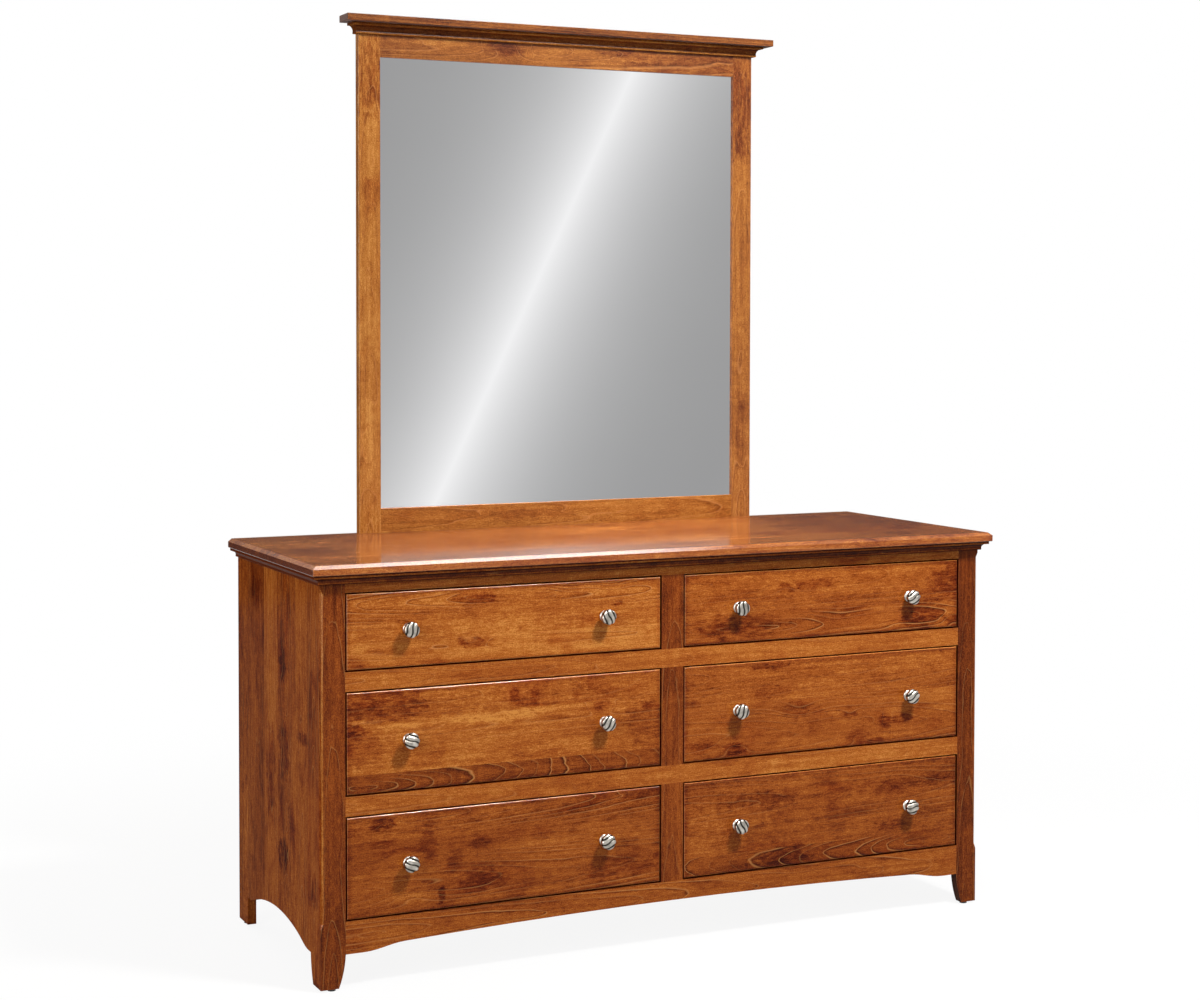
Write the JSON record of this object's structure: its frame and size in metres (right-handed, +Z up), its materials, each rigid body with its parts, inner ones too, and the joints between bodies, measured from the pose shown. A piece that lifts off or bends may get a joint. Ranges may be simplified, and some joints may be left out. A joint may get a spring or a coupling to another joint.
{
  "type": "dresser with mirror",
  "caption": "Low wide dresser with inset drawers in side-by-side columns, arched base and moulded top, and a tall framed mirror with a moulded cap standing on it.",
  "frame": {"origin": "middle of the footprint on the floor", "axes": "+Z up, -Y the way the drawers open, +X to the right when facing the drawers' fronts from -Y"},
  "size_m": [1.574, 0.578, 1.952],
  "materials": {
    "stained_wood": "satin lacquer over a warm brown stain",
    "inner_wood": "plain",
    "panel_wood": "plain",
    "drawer_maple": "clear satin lacquer",
    "knob_nickel": "satin nickel",
    "slide_steel": "zinc plated",
    "screw_steel": "zinc plated",
    "glide_plastic": "matte",
    "mirror_glass": "silvered"
  },
  "bodies": {
    "case": {"back_panel": "panel_wood", "bottom_panel": "panel_wood", "bottom_rail": "stained_wood", "case_slides": "slide_steel", "centre_partition": "inner_wood", "floor_glides": "glide_plastic", "front_post_left": "stained_wood", "front_post_right": "stained_wood", "lower_drawer_rail": "stained_wood", "mirror_backboard": "panel_wood", "mirror_bottom_rail": "stained_wood", "mirror_cap": "stained_wood", "mirror_glass": "mirror_glass", "mirror_moulding": "stained_wood", "mirror_screws": "screw_steel", "mirror_stile_left": "stained_wood", "mirror_stile_right": "stained_wood", "mirror_supports": "stained_wood", "mirror_top_rail": "stained_wood", "mullions": "stained_wood", "rear_rails": "inner_wood", "side_panel_left": "stained_wood", "side_panel_right": "stained_wood", "slide_packers": "inner_wood", "top_cleats": "inner_wood", "top_moulding": "stained_wood", "top_panel": "stained_wood", "top_rail": "stained_wood", "top_screws": "screw_steel", "upper_drawer_rail": "stained_wood"},
    "drawer_top_left": {"drawer_top_left_front": "stained_wood", "drawer_top_left_box": "drawer_maple", "drawer_top_left_knobs": "knob_nickel", "drawer_top_left_runners": "slide_steel"},
    "middle_runners_top_left": {"middle_runners_top_left": "slide_steel"},
    "drawer_top_right": {"drawer_top_right_front": "stained_wood", "drawer_top_right_box": "drawer_maple", "drawer_top_right_knobs": "knob_nickel", "drawer_top_right_runners": "slide_steel"},
    "middle_runners_top_right": {"middle_runners_top_right": "slide_steel"},
    "drawer_middle_left": {"drawer_middle_left_front": "stained_wood", "drawer_middle_left_box": "drawer_maple", "drawer_middle_left_knobs": "knob_nickel", "drawer_middle_left_runners": "slide_steel"},
    "middle_runners_middle_left": {"middle_runners_middle_left": "slide_steel"},
    "drawer_middle_right": {"drawer_middle_right_front": "stained_wood", "drawer_middle_right_box": "drawer_maple", "drawer_middle_right_knobs": "knob_nickel", "drawer_middle_right_runners": "slide_steel"},
    "middle_runners_middle_right": {"middle_runners_middle_right": "slide_steel"},
    "drawer_bottom_left": {"drawer_bottom_left_front": "stained_wood", "drawer_bottom_left_box": "drawer_maple", "drawer_bottom_left_knobs": "knob_nickel", "drawer_bottom_left_runners": "slide_steel"},
    "middle_runners_bottom_left": {"middle_runners_bottom_left": "slide_steel"},
    "drawer_bottom_right": {"drawer_bottom_right_front": "stained_wood", "drawer_bottom_right_box": "drawer_maple", "drawer_bottom_right_knobs": "knob_nickel", "drawer_bottom_right_runners": "slide_steel"},
    "middle_runners_bottom_right": {"middle_runners_bottom_right": "slide_steel"}
  },
  "joints": [
    {"name": "drawer_top_left_slide", "type": "slide", "parent": "case", "child": "drawer_top_left", "axis": [0, -1, 0], "range_m": [0, 0.45]},
    {"name": "middle_runners_top_left_slide", "type": "slide", "parent": "case", "child": "middle_runners_top_left", "axis": [0, -1, 0], "range_m": [0, 0.225]},
    {"name": "drawer_top_right_slide", "type": "slide", "parent": "case", "child": "drawer_top_right", "axis": [0, -1, 0], "range_m": [0, 0.45]},
    {"name": "middle_runners_top_right_slide", "type": "slide", "parent": "case", "child": "middle_runners_top_right", "axis": [0, -1, 0], "range_m": [0, 0.225]},
    {"name": "drawer_middle_left_slide", "type": "slide", "parent": "case", "child": "drawer_middle_left", "axis": [0, -1, 0], "range_m": [0, 0.45]},
    {"name": "middle_runners_middle_left_slide", "type": "slide", "parent": "case", "child": "middle_runners_middle_left", "axis": [0, -1, 0], "range_m": [0, 0.225]},
    {"name": "drawer_middle_right_slide", "type": "slide", "parent": "case", "child": "drawer_middle_right", "axis": [0, -1, 0], "range_m": [0, 0.45]},
    {"name": "middle_runners_middle_right_slide", "type": "slide", "parent": "case", "child": "middle_runners_middle_right", "axis": [0, -1, 0], "range_m": [0, 0.225]},
    {"name": "drawer_bottom_left_slide", "type": "slide", "parent": "case", "child": "drawer_bottom_left", "axis": [0, -1, 0], "range_m": [0, 0.45]},
    {"name": "middle_runners_bottom_left_slide", "type": "slide", "parent": "case", "child": "middle_runners_bottom_left", "axis": [0, -1, 0], "range_m": [0, 0.225]},
    {"name": "drawer_bottom_right_slide", "type": "slide", "parent": "case", "child": "drawer_bottom_right", "axis": [0, -1, 0], "range_m": [0, 0.45]},
    {"name": "middle_runners_bottom_right_slide", "type": "slide", "parent": "case", "child": "middle_runners_bottom_right", "axis": [0, -1, 0], "range_m": [0, 0.225]}
  ],
  "couplings": [
    {"joint": "middle_runners_top_left_slide", "follows": "drawer_top_left_slide", "ratio": 0.5},
    {"joint": "middle_runners_top_right_slide", "follows": "drawer_top_right_slide", "ratio": 0.5},
    {"joint": "middle_runners_middle_left_slide", "follows": "drawer_middle_left_slide", "ratio": 0.5},
    {"joint": "middle_runners_middle_right_slide", "follows": "drawer_middle_right_slide", "ratio": 0.5},
    {"joint": "middle_runners_bottom_left_slide", "follows": "drawer_bottom_left_slide", "ratio": 0.5},
    {"joint": "middle_runners_bottom_right_slide", "follows": "drawer_bottom_right_slide", "ratio": 0.5}
  ]
}
